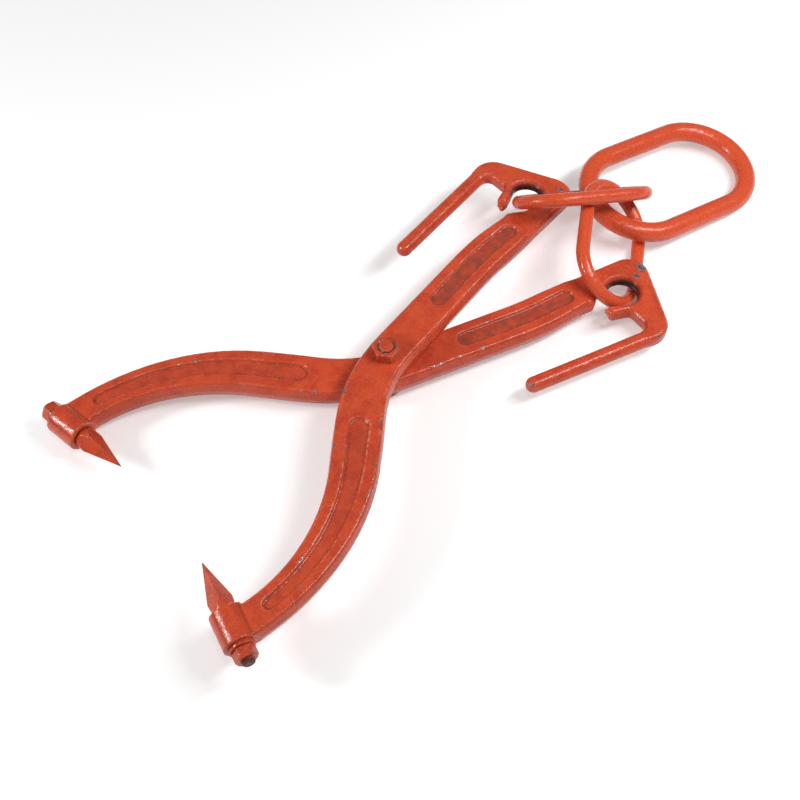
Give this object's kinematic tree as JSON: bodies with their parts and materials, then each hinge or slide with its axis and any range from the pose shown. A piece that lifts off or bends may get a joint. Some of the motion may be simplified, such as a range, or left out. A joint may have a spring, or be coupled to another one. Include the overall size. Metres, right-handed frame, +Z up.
{
  "type": "log tongs",
  "caption": "Heavy scissor tongs with crossed forged arms, replaceable gripping points, a pivot bolt, and two links joined to a pulling ring that closes the arms as it is pulled.",
  "frame": {"origin": "on the pivot axis, at the flat rest face under the pivot bolt's head, which lies on the ground", "axes": "+X runs along the tongs from the pivot towards the pulling ring, +Z is up along the pivot bolt, +Y is to the side of the upper arm's head"},
  "size_m": [0.9583, 0.413, 0.1119],
  "materials": {
    "arm_paint": "satin",
    "point_paint": "satin",
    "hardware_paint": "satin",
    "chain_paint": "satin"
  },
  "bodies": {
    "lower_half": {"lower_arm": "arm_paint", "pivot_bolt": "hardware_paint", "pivot_nut": "hardware_paint", "lower_point": "point_paint", "lower_lock_washer": "hardware_paint", "lower_point_nut": "hardware_paint"},
    "upper_half": {"upper_arm": "arm_paint", "upper_point": "point_paint", "upper_lock_washer": "hardware_paint", "upper_point_nut": "hardware_paint"},
    "lower_link": {"lower_link": "chain_paint"},
    "upper_link": {"upper_link": "chain_paint"},
    "master_ring": {"master_ring": "chain_paint"}
  },
  "joints": [
    {"name": "tongs_pivot", "type": "hinge", "parent": "lower_half", "child": "upper_half", "pos_m": [0, 0, 0.0421], "axis": [0, 0, 1], "range_deg": [-11.5, 8]},
    {"name": "lower_link_swing", "type": "hinge", "parent": "lower_half", "child": "lower_link", "pos_m": [0.2884, -0.0845, 0.0208], "axis": [-0.5304, 0.1178, 0.8395], "range_deg": [-8.4, 5.9]},
    {"name": "ring_swing", "type": "hinge", "parent": "lower_link", "child": "master_ring", "pos_m": [0.3669, 0.012, 0.0686], "axis": [0.3885, -0.4877, 0.7818], "range_deg": [-4.1, 2.9]},
    {"name": "upper_link_swing", "type": "hinge", "parent": "upper_half", "child": "upper_link", "pos_m": [0.2834, 0.0772, 0.0548], "axis": [-0.0371, -0.0265, 0.999], "range_deg": [-10.7, 15.3]}
  ],
  "couplings": [
    {"joint": "lower_link_swing", "follows": "tongs_pivot", "ratio": 0.727},
    {"joint": "ring_swing", "follows": "tongs_pivot", "ratio": 0.353},
    {"joint": "upper_link_swing", "follows": "tongs_pivot", "ratio": -1.322}
  ]
}
